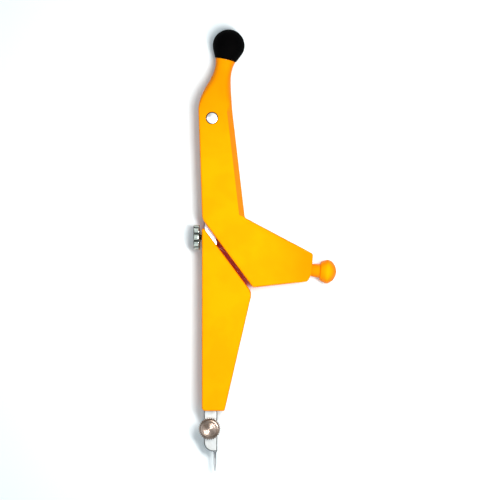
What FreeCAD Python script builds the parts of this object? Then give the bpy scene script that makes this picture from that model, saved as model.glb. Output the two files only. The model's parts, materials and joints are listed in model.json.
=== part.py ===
import FreeCAD, Part

import math
import os

# Needle leg of a beam compass, lying on its back: x to the right, y up the leg, z towards the front.
# All lengths are in millimetres. Places are measured from the pivot screw and the back face,
# and the finished pieces are moved together so that the middle of their footprint is the origin.

# Body
body_depth = 11.0
cut_overrun = 20.0
touch_gap = 0.02
running_gap = 0.05
free_gap = 0.3

# Handle: right is the distance right of the pivot, drop is the distance below it
shoulder_left = 4.65
shoulder_rise = 2.0
shoulder_right = 6.95
heel_left = 3.4
heel_drop = 34.35
heel_radius = 4.0
arm_heel_right = 13.9
arm_heel_drop = 57.65
arm_heel_radius = 0.6
chin_right = 32.6
chin_drop = 55.65
chin_radius = 1.6
arm_end_right = 33.8
arm_end_drop = 53.1
arm_end_radius = 2.0
arm_tip_right = 34.5
arm_tip_drop = 46.2
arm_tip_radius = 1.2
crotch_right = 11.15
crotch_drop = 33.85
crotch_radius = 1.6
edge_round = 0.7
bevel = 1.8
bevel_depth = 2.7
arm_crown_length = 10.0
arm_crown_radius = 34.0

# Neck of the handle
waist_right = 3.36
waist_rise = 15.34
waist_diameter = 6.15
rim_right = 4.45
rim_rise = 20.26
rim_diameter = 6.95
neck_flat = 0.8
neck_loft_degree = 3
# One row for each cross-section between the shoulder and the waist:
# height, sideways shift, lean, narrowing across, narrowing in depth, rounding of the corners
neck_shares = (
    (0.0, 0.0, 0.0, 0.0, 0.0, 0.0),
    (0.25, 0.0, 0.12, 0.10, 0.10, 0.12),
    (0.52, 0.27, 0.50, 0.38, 0.35, 0.42),
    (0.78, 0.67, 0.80, 0.76, 0.69, 0.78),
    (1.0, 1.0, 1.0, 1.0, 1.0, 1.0),
)

# Pivot
pivot_sleeve_diameter = 3.0
pivot_nut_head_diameter = 5.0
pivot_nut_head_height = 1.1
pivot_screw_diameter = 1.6
pivot_head_diameter = 3.6
pivot_head_height = 1.1
pivot_head_crown = 0.25
pivot_web = 0.9
pivot_slot_width = 0.55
pivot_slot_depth = 0.5
pivot_recess_gap = 0.3
pivot_sunk = 0.1
washer_diameter = 5.6
washer_gap = 0.05

# Leg bar
bar_left = 2.9
bar_right = 1.7
bar_depth = 3.2
bar_drop = 113.9
bar_toe_radius = 3.2
bar_edge_bevel = 0.25
eye_side_gap = 0.4
slot_side_gap = 0.3
slot_mouth_drop = 5.5
leg_open_angle = 0.7

# Leg cover
cover_left = 3.5
slit_gap_heel = 1.4
slit_gap_arm = 1.35
cover_nose_right = 13.4
cover_nose_drop = 60.2
cover_nose_radius = 2.4
cover_toe_right = 4.25
cover_toe_drop = 99.7
cover_toe_radius = 0.6
cover_heel_radius = 1.2
cover_top_radius = 0.5
cover_pin_diameter = 1.5
cover_pin_length = 8.0
cover_pin_drops = (52.0, 92.0)

# Handle pins
handle_pin_diameter = 2.0
handle_pin_length = 7.0
neck_pin_right = 1.3
neck_pin_rise = 8.2
arm_pin_right = 21.5
arm_pin_drop = 49.0

# Adjusting screw
adjuster_diameter = 2.0
adjuster_thread_gap = 0.1
adjuster_journal_diameter = 1.4
adjuster_bush_diameter = 3.4
adjuster_bush_length = 3.0
adjuster_bush_wall = 0.48
adjuster_end_play = 0.1
adjuster_collar_diameter = 2.8
adjuster_collar_length = 1.2
adjuster_cover_hole = 2.6
wheel_diameter = 8.7
wheel_thickness = 2.15
wheel_bevel = 0.45
wheel_tooth_depth = 0.42
wheel_teeth = 22
wheel_dish_diameter = 5.2
wheel_dish_depth = 0.3

# Needle and its clamp
needle_right = 0.875
needle_shank_diameter = 1.26
needle_diameter = 0.92
needle_fit = 0.03
needle_shoulder_gap = 0.35
needle_tip_drop = 121.0
needle_taper = 2.7
needle_tip_diameter = 0.12
needle_top_drop = 98.5
needle_travel = 3.0
split_width = 0.4
split_length = 15.4
clamp_left = 0.88
clamp_drop = 105.95
clamp_diameter = 1.8
clamp_head_diameter = 7.6
clamp_head_height = 2.3
clamp_head_bevel = 0.3
clamp_head_dish_diameter = 5.4
clamp_head_dish_depth = 0.25
clamp_tooth_depth = 0.25
clamp_teeth = 40
clamp_washer_diameter = 4.8
clamp_washer_thickness = 0.4

# Press knob
ball_radius = 5.48
ball_centre_height = 5.25
ball_seat_diameter = 7.5
stud_diameter = 2.4
stud_depth_in_ball = 5.0
stud_flange_diameter = 3.8
stud_flange_thickness = 1.0
press_bush_diameter = 3.9
press_bush_length = 4.4
end_play = 0.15

# Side knob
side_axis_drop = 51.75
side_neck_diameter = 4.2
side_neck_top_diameter = 4.9
side_neck_length = 3.05
side_recess_depth = 0.6
side_knob_diameter = 8.2
side_knob_back_diameter = 6.4
side_knob_back_length = 2.45
side_knob_nose_length = 3.14
side_knob_rim_radius = 1.8
side_pin_diameter = 1.6
side_pin_depth_in_knob = 4.5
side_pin_head_diameter = 3.0
side_pin_head_thickness = 1.0
side_bush_diameter = 3.0
side_bush_length = 3.5

# Values worked out from the ones above
mid_depth = body_depth / 2
slot_half_depth = bar_depth / 2 + free_gap
washer_thickness = free_gap - washer_gap
side_step_x = arm_tip_right - arm_end_right
side_step_y = arm_end_drop - arm_tip_drop
side_tilt = math.atan2(side_step_x, side_step_y)
side_base_right = arm_tip_right - (side_axis_drop - arm_tip_drop) * math.tan(side_tilt)
slit_run = arm_heel_right + heel_left
slit_fall = arm_heel_drop - heel_drop
slit_length = math.hypot(slit_run, slit_fall)
slit_reach = (arm_heel_right * slit_run + arm_heel_drop * slit_fall) / slit_length
leg_close_angle = math.degrees((slit_gap_arm - free_gap) / slit_reach)
neck_lean = math.atan2(rim_right - waist_right, rim_rise - waist_rise)
slit_slope = slit_fall / slit_run
slot_foot_drop = heel_drop + (bar_right + slot_side_gap + heel_left) * slit_slope
bar_slot_right = bar_right + slot_side_gap + slot_foot_drop * math.tan(math.radians(leg_close_angle))
adjuster_bush_foot = heel_drop + (bar_slot_right + heel_left) * slit_slope - adjuster_bush_wall
adjuster_drop = adjuster_bush_foot - adjuster_bush_diameter / 2
bar_middle_right = (bar_right - bar_left) / 2
pivot_head_seat = body_depth - pivot_sunk - pivot_head_height
pivot_nut_seat = pivot_sunk + pivot_nut_head_height
pivot_sleeve_top = pivot_head_seat - pivot_web
wheel_gap = free_gap + adjuster_drop * math.tan(math.radians(leg_open_angle))
wheel_right = -cover_left - wheel_gap
adjuster_shoulder = bar_slot_right - adjuster_end_play
adjuster_collar_right = bar_slot_right + adjuster_bush_length + adjuster_end_play
adjuster_end = adjuster_collar_right + adjuster_collar_length
clamp_seat = mid_depth + bar_depth / 2 + clamp_washer_thickness
stud_flange_top = -press_bush_length - end_play
side_neck_foot = free_gap - side_recess_depth
side_bush_foot = -side_recess_depth - side_bush_length
side_head_outer = side_bush_foot - end_play


def vector(x, y, z=0.0):
    """Point or direction in space."""
    return FreeCAD.Vector(x, y, z)


UP = vector(0.0, 0.0, 1.0)
ALONG_X = vector(1.0, 0.0)
ALONG_Y = vector(0.0, 1.0)
NECK_AXIS = vector(math.sin(neck_lean), math.cos(neck_lean))
SIDE_AXIS = vector(math.cos(side_tilt), -math.sin(side_tilt))
RIM_CENTRE = vector(rim_right, rim_rise, mid_depth)
SIDE_BASE = vector(side_base_right, -side_axis_drop, mid_depth)


def outline_face(corners, level):
    """Flat face at one height; each corner (x, y, radius) is rounded by an arc tangent to both sides."""
    stretches = []
    for index, (x, y, radius) in enumerate(corners):
        here = vector(x, y, level)
        x_before, y_before = corners[index - 1][:2]
        x_after, y_after = corners[(index + 1) % len(corners)][:2]
        to_before = (vector(x_before, y_before, level) - here).normalize()
        to_after = (vector(x_after, y_after, level) - here).normalize()
        if radius == 0:
            stretches.append((here, None, here))
            continue
        half_angle = to_before.getAngle(to_after) / 2
        inward = (to_before + to_after).normalize()
        reach = radius / math.tan(half_angle)
        depth = radius / math.sin(half_angle) - radius
        stretches.append((here + to_before * reach, here + inward * depth, here + to_after * reach))
    edges = []
    for index, (start, middle, end) in enumerate(stretches):
        if middle is not None:
            edges.append(Part.Arc(start, middle, end).toShape())
        following = stretches[(index + 1) % len(stretches)][0]
        edges.append(Part.LineSegment(end, following).toShape())
    return Part.Face(Part.Wire(edges))


def plate(corners, low, high):
    """Straight slab of an outline between two heights."""
    return outline_face(corners, low).extrude(UP * (high - low))


def drum(diameter, start, direction, length):
    """Cylinder from a start point along a direction."""
    return Part.makeCylinder(diameter / 2, length, start, direction)


def ring(outer_diameter, inner_diameter, start, direction, length):
    """Cylinder with a hole right through it."""
    reach = direction * cut_overrun
    hole = drum(inner_diameter, start - reach, direction, length + 2 * cut_overrun)
    return drum(outer_diameter, start, direction, length).cut(hole)


def placed(shape, start, direction):
    """Shape made about the z axis, moved so that its axis leaves start along direction."""
    shape.Placement = FreeCAD.Placement(start, FreeCAD.Rotation(UP, direction))
    return shape


def lathe(edges, start, direction):
    """Solid turned about an axis from edges given as (radius, 0, distance along the axis)."""
    face = Part.Face(Part.Wire(edges))
    return placed(face.revolve(vector(0.0, 0.0), UP, 360), start, direction)


def tangent_spot(start, centre, radius):
    """Spot where a straight line from start, on the outer side, touches a circle of the section."""
    reach = math.hypot(start[0] - centre[0], start[1] - centre[1])
    angle = math.atan2(start[1] - centre[1], start[0] - centre[0]) + math.acos(radius / reach)
    return (centre[0] + radius * math.cos(angle), centre[1] + radius * math.sin(angle))


def polygon_edges(points):
    """Closed chain of straight edges through (radius, distance) points of a turned section."""
    corners = [vector(radius, 0.0, distance) for radius, distance in points]
    return Part.makePolygon(corners + corners[:1]).Edges


def section_arc(start, centre, end):
    """Arc of a turned section about a centre, between two (radius, distance) points."""
    middle = vector(centre[0], 0.0, centre[1])
    first = vector(start[0], 0.0, start[1])
    last = vector(end[0], 0.0, end[1])
    halfway = (first + last) / 2 - middle
    return Part.Arc(first, middle + halfway.normalize() * (first - middle).Length, last).toShape()


def section_line(start, end):
    """Straight edge of a turned section between two (radius, distance) points."""
    return Part.LineSegment(vector(start[0], 0.0, start[1]), vector(end[0], 0.0, end[1])).toShape()


def knurled(diameter, tooth_depth, teeth, thickness, bevel):
    """Drum about z whose rim carries straight V teeth and whose two edges are bevelled."""
    corners = []
    for step in range(2 * teeth):
        radius = diameter / 2 - tooth_depth * (step % 2)
        angle = math.pi * step / teeth
        corners.append((radius * math.cos(angle), radius * math.sin(angle), 0))
    toothed = plate(corners, 0.0, thickness)
    outer = diameter / 2
    section = (
        (0.0, 0.0),
        (outer - bevel, 0.0),
        (outer, bevel),
        (outer, thickness - bevel),
        (outer - bevel, thickness),
        (0.0, thickness),
    )
    envelope = lathe(polygon_edges(section), vector(0.0, 0.0), UP)
    return toothed.common(envelope)


def rim_edges(solid, level, x_limits, y_limits):
    """Edges that lie flat at one height, with their middles inside a rectangle."""
    found = []
    for edge in solid.Edges:
        middle = edge.CenterOfMass
        inside_x = x_limits[0] < middle.x < x_limits[1]
        inside_y = y_limits[0] < middle.y < y_limits[1]
        flat = max(abs(vertex.Z - level) for vertex in edge.Vertexes) < touch_gap
        if inside_x and inside_y and flat:
            found.append(edge)
    return found


def corner_edge(start, corner, end, flat):
    """Corner of a neck section: a straight bevel, or an arc tangent to both sides."""
    if flat:
        return Part.LineSegment(start, end).toShape()
    centre = start + end - corner
    middle = centre + (corner - centre) * math.cos(math.pi / 4)
    return Part.Arc(start, middle, end).toShape()


def neck_section(centre, lean, half_width, half_depth, left_cut, right_cut, right_drop, right_flat):
    """Outline across the front half of the neck, closed by a straight line on the middle plane."""
    across = vector(math.cos(lean), -math.sin(lean))

    def spot(sideways, height):
        return centre + across * sideways + UP * height

    left_foot = spot(-half_width, 0.0)
    left_side = spot(-half_width, half_depth - left_cut)
    front_left = spot(left_cut - half_width, half_depth)
    front_right = spot(half_width - right_cut, half_depth)
    right_side = spot(half_width, half_depth - right_drop)
    right_foot = spot(half_width, 0.0)
    edges = [
        Part.LineSegment(left_foot, left_side).toShape(),
        corner_edge(left_side, spot(-half_width, half_depth), front_left, False),
        Part.LineSegment(front_left, front_right).toShape(),
        corner_edge(front_right, spot(half_width, half_depth), right_side, right_flat),
        Part.LineSegment(right_side, right_foot).toShape(),
        Part.LineSegment(right_foot, left_foot).toShape(),
    ]
    return Part.Wire(edges)


def blend(start, end, share):
    """Value part of the way from start to end."""
    return start + (end - start) * share


def neck_loft():
    """Front half of the neck, drawn through its sections from the square shoulder to the round rim."""
    wires = []
    shoulder_half = (shoulder_left + shoulder_right) / 2
    shoulder_middle = (shoulder_right - shoulder_left) / 2
    for height, shift, lean, narrowing, thinning, rounding in neck_shares:
        centre = vector(
            blend(shoulder_middle, waist_right, shift),
            blend(shoulder_rise, waist_rise, height),
            mid_depth,
        )
        half_width = blend(shoulder_half, waist_diameter / 2, narrowing)
        half_depth = blend(mid_depth, waist_diameter / 2, thinning)
        widest_cut = min(half_width, half_depth) - neck_flat / 2
        left_cut = blend(edge_round, widest_cut, rounding)
        right_cut = blend(bevel, widest_cut, rounding)
        right_drop = blend(bevel_depth, widest_cut, rounding)
        wires.append(
            neck_section(
                centre,
                neck_lean * lean,
                half_width,
                half_depth,
                left_cut,
                right_cut,
                right_drop,
                rounding == 0,
            )
        )
    rim_half = rim_diameter / 2
    rim_cut = rim_half - neck_flat / 2
    wires.append(
        neck_section(RIM_CENTRE, neck_lean, rim_half, rim_half, rim_cut, rim_cut, rim_cut, False)
    )
    return Part.makeLoft(wires, True, False, False, neck_loft_degree)


def handle_corners():
    """Outline of the handle below its shoulder, clockwise from the shoulder's left end."""
    return (
        (-shoulder_left, shoulder_rise, 0),
        (shoulder_right, shoulder_rise, 0),
        (crotch_right, -crotch_drop, crotch_radius),
        (arm_tip_right, -arm_tip_drop, arm_tip_radius),
        (arm_end_right, -arm_end_drop, arm_end_radius),
        (chin_right, -chin_drop, chin_radius),
        (arm_heel_right, -arm_heel_drop, arm_heel_radius),
        (-heel_left, -heel_drop, heel_radius),
    )


def arm_crown():
    """Cutter that rounds the front of the arm down towards its end."""
    start = SIDE_BASE - SIDE_AXIS * arm_crown_length
    end_angle = math.asin(arm_crown_length / arm_crown_radius)

    def spot(along, height):
        return start + SIDE_AXIS * along + UP * height

    def arc_spot(angle):
        drop = arm_crown_radius * (1 - math.cos(angle))
        return spot(arm_crown_radius * math.sin(angle), mid_depth - drop)

    arc_end = arc_spot(end_angle)
    arc = Part.Arc(spot(0.0, mid_depth), arc_spot(end_angle / 2), arc_end).toShape()
    beyond = arc_end + SIDE_AXIS * cut_overrun - UP * (cut_overrun * math.tan(end_angle))
    above = spot(arm_crown_length + cut_overrun, mid_depth + cut_overrun)
    back = spot(0.0, mid_depth + cut_overrun)
    lines = Part.makePolygon([arc_end, beyond, above, back, spot(0.0, mid_depth)]).Edges
    face = Part.Face(Part.Wire([arc] + lines))
    sideways = vector(SIDE_AXIS.y, -SIDE_AXIS.x)
    face.translate(sideways * -cut_overrun)
    return face.extrude(sideways * (2 * cut_overrun))


def bevel_cutter():
    """Three-sided bar that bevels the right-hand front edge of the upper leg."""
    top = vector(shoulder_right, shoulder_rise, body_depth)
    crotch = vector(crotch_right, -crotch_drop, body_depth)
    tip = vector(arm_tip_right, -arm_tip_drop, body_depth)
    direction = (crotch - top).normalize()
    outward = vector(-direction.y, direction.x)
    corner = top - direction * cut_overrun
    inner = corner - outward * (2 * bevel) + UP * bevel_depth
    lower = corner + outward * bevel - UP * (2 * bevel_depth)
    outer = corner + outward * bevel + UP * bevel_depth
    face = Part.Face(Part.makePolygon([inner, lower, outer, inner]))
    bar = face.extrude(direction * (2 * cut_overrun + crotch_drop))
    guard_left = crotch - (tip - crotch).normalize() * cut_overrun
    guard_corners = (
        (guard_left.x, guard_left.y, 0),
        (tip.x, tip.y, 0),
        (tip.x, tip.y - 2 * cut_overrun, 0),
        (guard_left.x, guard_left.y - 2 * cut_overrun, 0),
    )
    return bar.cut(plate(guard_corners, 0.0, body_depth + cut_overrun))


def handle_half():
    """Outside of the front half of the handle: leg, arm and neck, with rounded and bevelled edges."""
    body = plate(handle_corners(), mid_depth, body_depth)
    x_limits = (-2 * shoulder_left, 2 * arm_tip_right)
    y_limits = (-2 * arm_heel_drop, shoulder_rise - touch_gap)
    body = body.makeFillet(edge_round, rim_edges(body, body_depth, x_limits, y_limits))
    body = body.cut(bevel_cutter()).cut(arm_crown())
    return body.fuse(neck_loft()).removeSplitter()


def neck_point(distance):
    """Point on the neck's axis, counted from the rim; positive is up, out of the neck."""
    return RIM_CENTRE + NECK_AXIS * distance


def side_point(distance):
    """Point on the side knob's axis, counted from the end of the arm; positive is outwards."""
    return SIDE_BASE + SIDE_AXIS * distance


def adjuster_point(right):
    """Point on the adjusting screw's axis at a distance right of the pivot."""
    return vector(right, -adjuster_drop, mid_depth)


def bar_slot():
    """Space in the middle of the handle for the leg bar and its swing, open on the left."""
    low = mid_depth - slot_half_depth
    high = mid_depth + slot_half_depth
    eye = drum(2 * (bar_left + eye_side_gap), vector(0.0, 0.0, low), UP, high - low)
    channel = (
        (-bar_left - slot_side_gap, 0.0, 0),
        (bar_right + slot_side_gap, 0.0, 0),
        (bar_slot_right, -slot_foot_drop, 0),
        (bar_slot_right, -arm_heel_drop, 0),
        (-shoulder_left - cut_overrun, -arm_heel_drop, 0),
        (-shoulder_left - cut_overrun, -slot_mouth_drop, 0),
        (-bar_left - slot_side_gap, -slot_mouth_drop, 0),
    )
    return eye.fuse(plate(channel, low, high))


def handle_pin_places():
    """Places of the pins that hold the two halves of the handle in line."""
    return (
        (neck_pin_right, neck_pin_rise),
        (arm_pin_right, -arm_pin_drop),
    )


def joined(shapes):
    """Several separate shapes held as one."""
    return Part.makeCompound(list(shapes))


def handle_hollows():
    """Everything cut out of the handle: slot, pivot, bushes, shaft ends and pin holes."""
    below = UP * -cut_overrun
    nut_recess = pivot_nut_head_diameter + 2 * pivot_recess_gap
    head_recess = pivot_head_diameter + 2 * pivot_recess_gap
    adjuster_pocket = adjuster_end + free_gap - bar_slot_right
    stud_pocket = 2 * end_play + stud_flange_thickness
    side_pocket = 2 * end_play + side_pin_head_thickness
    sleeve_hole_top = pivot_sleeve_top + touch_gap
    bush_mouth = bar_slot_right - running_gap
    pin_hole = handle_pin_diameter + 2 * touch_gap
    pin_foot = mid_depth - handle_pin_length / 2 - touch_gap
    pin_room = handle_pin_length + 2 * touch_gap
    cuts = [
        bar_slot(),
        drum(nut_recess, below, UP, cut_overrun + pivot_nut_seat),
        drum(pivot_sleeve_diameter + 2 * touch_gap, below, UP, cut_overrun + sleeve_hole_top),
        drum(pivot_screw_diameter + 2 * running_gap, below, UP, cut_overrun + body_depth),
        drum(head_recess, vector(0.0, 0.0, pivot_head_seat), UP, cut_overrun),
        drum(
            adjuster_bush_diameter + 2 * touch_gap,
            adjuster_point(bush_mouth),
            ALONG_X,
            adjuster_pocket + running_gap,
        ),
        drum(
            press_bush_diameter + 2 * touch_gap,
            neck_point(cut_overrun),
            -NECK_AXIS,
            cut_overrun + press_bush_length,
        ),
        drum(
            stud_flange_diameter + 2 * free_gap,
            neck_point(-press_bush_length),
            -NECK_AXIS,
            stud_pocket,
        ),
        drum(
            side_bush_diameter + 2 * touch_gap,
            side_point(cut_overrun),
            -SIDE_AXIS,
            cut_overrun - side_bush_foot,
        ),
        drum(
            side_neck_diameter + 2 * (free_gap + running_gap),
            side_point(cut_overrun),
            -SIDE_AXIS,
            cut_overrun + side_recess_depth,
        ),
        drum(
            side_pin_head_diameter + 2 * free_gap,
            side_point(side_bush_foot),
            -SIDE_AXIS,
            side_pocket,
        ),
    ]
    for x, y in handle_pin_places():
        cuts.append(drum(pin_hole, vector(x, y, pin_foot), UP, pin_room))
    return cuts


def cut_away(body, cutters):
    """Body with every cutter taken out of it, one after the other."""
    for cutter in cutters:
        body = body.cut(cutter)
    return body


def mirrored_back(front):
    """Back half with the same outside as a front half."""
    return front.mirror(vector(0.0, 0.0, mid_depth), UP)


def make_handle():
    """Front and back halves of the handle."""
    front = handle_half()
    hollows = handle_hollows()
    return cut_away(front, hollows), cut_away(mirrored_back(front), hollows)


def make_handle_pins():
    """Pins across the joint between the halves of the handle."""
    foot = mid_depth - handle_pin_length / 2
    return joined(
        drum(handle_pin_diameter, vector(x, y, foot), UP, handle_pin_length)
        for x, y in handle_pin_places()
    )


def slot_cutter(centre, direction, width, depth):
    """Bar that cuts a screwdriver slot across a head whose face is at centre, along the x axis."""
    low = centre.z - depth if direction.z > 0 else centre.z - cut_overrun
    height = depth + cut_overrun
    return Part.makeBox(
        2 * cut_overrun, width, height, vector(centre.x - cut_overrun, centre.y - width / 2, low)
    )


def make_pivot_screw():
    """Slotted pivot screw with a slightly domed head, let into the front of the handle."""
    radius = pivot_head_diameter / 2
    shank_radius = pivot_screw_diameter / 2
    side_top = pivot_head_seat + pivot_head_height - pivot_head_crown
    top = pivot_head_seat + pivot_head_height
    foot = pivot_nut_seat + pivot_web
    dome_radius = (radius * radius + pivot_head_crown * pivot_head_crown) / (2 * pivot_head_crown)
    edges = [
        section_line((0.0, foot), (shank_radius, foot)),
        section_line((shank_radius, foot), (shank_radius, pivot_head_seat)),
        section_line((shank_radius, pivot_head_seat), (radius, pivot_head_seat)),
        section_line((radius, pivot_head_seat), (radius, side_top)),
        section_arc((radius, side_top), (0.0, top - dome_radius), (0.0, top)),
        section_line((0.0, top), (0.0, foot)),
    ]
    screw = lathe(edges, vector(0.0, 0.0), UP)
    return screw.cut(slot_cutter(vector(0.0, 0.0, top), UP, pivot_slot_width, pivot_slot_depth))


def make_pivot_sleeve_nut():
    """Slotted nut at the back whose long sleeve is the bearing that the leg turns on."""
    sleeve_length = pivot_sleeve_top - pivot_nut_seat
    head = drum(pivot_nut_head_diameter, UP * pivot_sunk, UP, pivot_nut_head_height)
    sleeve = drum(pivot_sleeve_diameter, UP * pivot_nut_seat, UP, sleeve_length)
    bore_foot = UP * (pivot_nut_seat + pivot_web / 2)
    bore = drum(pivot_screw_diameter + 2 * touch_gap, bore_foot, UP, cut_overrun)
    nut = head.fuse(sleeve).cut(bore)
    slot = slot_cutter(UP * pivot_sunk, -UP, pivot_slot_width, pivot_slot_depth)
    return nut.cut(slot).removeSplitter()


def make_pivot_washers():
    """Two washers that take the rub between the leg's eye and the sides of the slot."""
    inner = pivot_sleeve_diameter + 2 * running_gap
    front = vector(0.0, 0.0, mid_depth + slot_half_depth - washer_thickness)
    back = vector(0.0, 0.0, mid_depth - slot_half_depth)
    return joined(ring(washer_diameter, inner, start, UP, washer_thickness) for start in (front, back))


def make_leg_bar():
    """Flat steel bar with an eye at the pivot and a split lower end that grips the needle."""
    low = mid_depth - bar_depth / 2
    high = mid_depth + bar_depth / 2
    eye = drum(2 * bar_left, vector(0.0, 0.0, low), UP, bar_depth)
    shank_corners = (
        (-bar_left, 0.0, 0),
        (bar_right, 0.0, 0),
        (bar_right, -bar_drop, 0),
        (-bar_left, -bar_drop, bar_toe_radius),
    )
    shank = plate(shank_corners, low, high)
    for level in (low, high):
        edges = rim_edges(shank, level, (-2 * bar_left, 2 * bar_right), (-2 * bar_drop, -touch_gap))
        shank = shank.makeChamfer(bar_edge_bevel, edges)
    bar = shank.fuse(eye).removeSplitter()
    split_top = -bar_drop + split_length
    needle_bore_top = -needle_top_drop + needle_travel + free_gap
    foot = vector(0.0, 0.0, -cut_overrun)
    through = body_depth + 2 * cut_overrun
    cuts = [
        drum(pivot_sleeve_diameter + 2 * running_gap, foot, UP, through),
        drum(
            adjuster_diameter + 2 * adjuster_thread_gap,
            adjuster_point(-cut_overrun),
            ALONG_X,
            2 * cut_overrun,
        ),
        drum(
            needle_shank_diameter + 2 * needle_fit,
            vector(needle_right, -bar_drop - cut_overrun, mid_depth),
            ALONG_Y,
            cut_overrun + bar_drop + needle_bore_top,
        ),
        drum(
            clamp_diameter + 2 * running_gap,
            vector(-clamp_left, -clamp_drop, -cut_overrun),
            UP,
            through,
        ),
        Part.makeBox(
            2 * cut_overrun,
            split_length + cut_overrun,
            split_width,
            vector(-cut_overrun, split_top - split_length - cut_overrun, mid_depth - split_width / 2),
        ),
    ]
    for drop in cover_pin_drops:
        place = vector(bar_middle_right, -drop, -cut_overrun)
        cuts.append(drum(cover_pin_diameter + 2 * touch_gap, place, UP, through))
    return cut_away(bar, cuts)


def slit_side():
    """Two points of the leg cover's upper edge, below the handle's by the slit's width."""
    heel = vector(-heel_left, -heel_drop)
    arm_heel = vector(arm_heel_right, -arm_heel_drop)
    direction = (arm_heel - heel).normalize()
    downward = vector(direction.y, -direction.x)
    return heel + downward * slit_gap_heel, arm_heel + downward * slit_gap_arm


def cover_corners():
    """Outline of the leg cover, clockwise from its top left corner."""
    upper, lower = slit_side()
    slope = (lower.y - upper.y) / (lower.x - upper.x)
    top = upper.y - slope * (upper.x + cover_left)
    return (
        (-cover_left, top, cover_top_radius),
        (lower.x, lower.y, cover_nose_radius),
        (cover_nose_right, -cover_nose_drop, cover_nose_radius),
        (cover_toe_right, -cover_toe_drop, cover_toe_radius),
        (-cover_left, -cover_toe_drop, cover_heel_radius),
    )


def make_leg_cover():
    """Front and back halves of the wedge-shaped cover, with a channel for the bar."""
    front = plate(cover_corners(), mid_depth, body_depth)
    limits = (-2 * cover_nose_right, 2 * cover_nose_right)
    front = front.makeFillet(edge_round, rim_edges(front, body_depth, limits, (-2 * cover_toe_drop, 0.0)))
    channel_low = mid_depth - bar_depth / 2 - touch_gap
    channel = Part.makeBox(
        bar_left + bar_right + 2 * touch_gap,
        bar_drop + cut_overrun,
        bar_depth + 2 * touch_gap,
        vector(-bar_left - touch_gap, -bar_drop - cut_overrun, channel_low),
    )
    pin_foot = mid_depth - cover_pin_length / 2 - touch_gap
    pin_hole = cover_pin_diameter + 2 * touch_gap
    pin_room = cover_pin_length + 2 * touch_gap
    cuts = [channel, drum(adjuster_cover_hole, adjuster_point(-cut_overrun), ALONG_X, cut_overrun)]
    for drop in cover_pin_drops:
        cuts.append(drum(pin_hole, vector(bar_middle_right, -drop, pin_foot), UP, pin_room))
    return cut_away(front, cuts), cut_away(mirrored_back(front), cuts)


def make_leg_cover_pins():
    """Pins that hold the cover's halves on the bar and in line."""
    foot = mid_depth - cover_pin_length / 2
    return joined(
        drum(cover_pin_diameter, vector(bar_middle_right, -drop, foot), UP, cover_pin_length)
        for drop in cover_pin_drops
    )


def make_adjuster_wheel():
    """Knurled thumb wheel, dished on its outer face."""
    wheel = knurled(wheel_diameter, wheel_tooth_depth, wheel_teeth, wheel_thickness, wheel_bevel)
    bore = drum(adjuster_diameter + 2 * touch_gap, UP * -cut_overrun, UP, 2 * cut_overrun)
    dish = drum(wheel_dish_diameter, UP * -cut_overrun, UP, cut_overrun + wheel_dish_depth)
    wheel = wheel.cut([bore, dish])
    return placed(wheel, adjuster_point(wheel_right - wheel_thickness), ALONG_X)


def make_adjuster_screw():
    """Screw through the leg bar, with a thin end that turns in the bush."""
    start = wheel_right - wheel_thickness + wheel_dish_depth
    thick = drum(adjuster_diameter, adjuster_point(start), ALONG_X, adjuster_shoulder - start)
    thin = drum(adjuster_journal_diameter, adjuster_point(start), ALONG_X, adjuster_end - start)
    return thick.fuse(thin).removeSplitter()


def make_adjuster_bush():
    """Bush that carries the adjusting screw in the handle."""
    bore = adjuster_journal_diameter + 2 * running_gap
    return ring(adjuster_bush_diameter, bore, adjuster_point(bar_slot_right), ALONG_X, adjuster_bush_length)


def make_adjuster_collar():
    """Collar that keeps the adjusting screw in its bush."""
    start = adjuster_point(adjuster_collar_right)
    bore = adjuster_journal_diameter + 2 * touch_gap
    return ring(adjuster_collar_diameter, bore, start, ALONG_X, adjuster_collar_length)


def make_clamp_screw():
    """Knurled screw that squeezes the split end of the bar on the needle."""
    head = knurled(clamp_head_diameter, clamp_tooth_depth, clamp_teeth, clamp_head_height, clamp_head_bevel)
    dish_floor = UP * (clamp_head_height - clamp_head_dish_depth)
    head = head.cut(drum(clamp_head_dish_diameter, dish_floor, UP, cut_overrun))
    head = placed(head, vector(-clamp_left, -clamp_drop, clamp_seat), UP)
    shank_length = clamp_washer_thickness + bar_depth
    shank_foot = vector(-clamp_left, -clamp_drop, clamp_seat - shank_length)
    return head.fuse(drum(clamp_diameter, shank_foot, UP, shank_length))


def make_clamp_washer():
    """Washer under the head of the clamp screw."""
    start = vector(-clamp_left, -clamp_drop, clamp_seat - clamp_washer_thickness)
    bore = clamp_diameter + 2 * running_gap
    return ring(clamp_washer_diameter, bore, start, UP, clamp_washer_thickness)


def make_needle():
    """Needle with a thick shank for the clamp, a thinner free end and a tapered point."""
    length = needle_tip_drop - needle_top_drop
    shoulder = bar_drop + needle_shoulder_gap - needle_top_drop
    radius = needle_diameter / 2
    shank_radius = needle_shank_diameter / 2
    section = (
        (0.0, 0.0),
        (shank_radius, 0.0),
        (shank_radius, shoulder),
        (radius, shoulder),
        (radius, length - needle_taper),
        (needle_tip_diameter / 2, length),
        (0.0, length),
    )
    return lathe(polygon_edges(section), vector(needle_right, -needle_top_drop, mid_depth), -ALONG_Y)


def make_press_knob():
    """Ball that the finger presses, drawn in below to a flat seat just wider than the rim."""
    seat_edge = (ball_seat_diameter / 2, free_gap)
    middle = (0.0, ball_centre_height)
    touch = tangent_spot(seat_edge, middle, ball_radius)
    top = (0.0, ball_centre_height + ball_radius)
    edges = [
        section_line((0.0, free_gap), seat_edge),
        section_line(seat_edge, touch),
        section_arc(touch, middle, top),
        section_line(top, (0.0, free_gap)),
    ]
    ball = lathe(edges, neck_point(0.0), NECK_AXIS)
    bore_length = stud_depth_in_ball + touch_gap
    return ball.cut(drum(stud_diameter + 2 * touch_gap, neck_point(free_gap), NECK_AXIS, bore_length))


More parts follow.
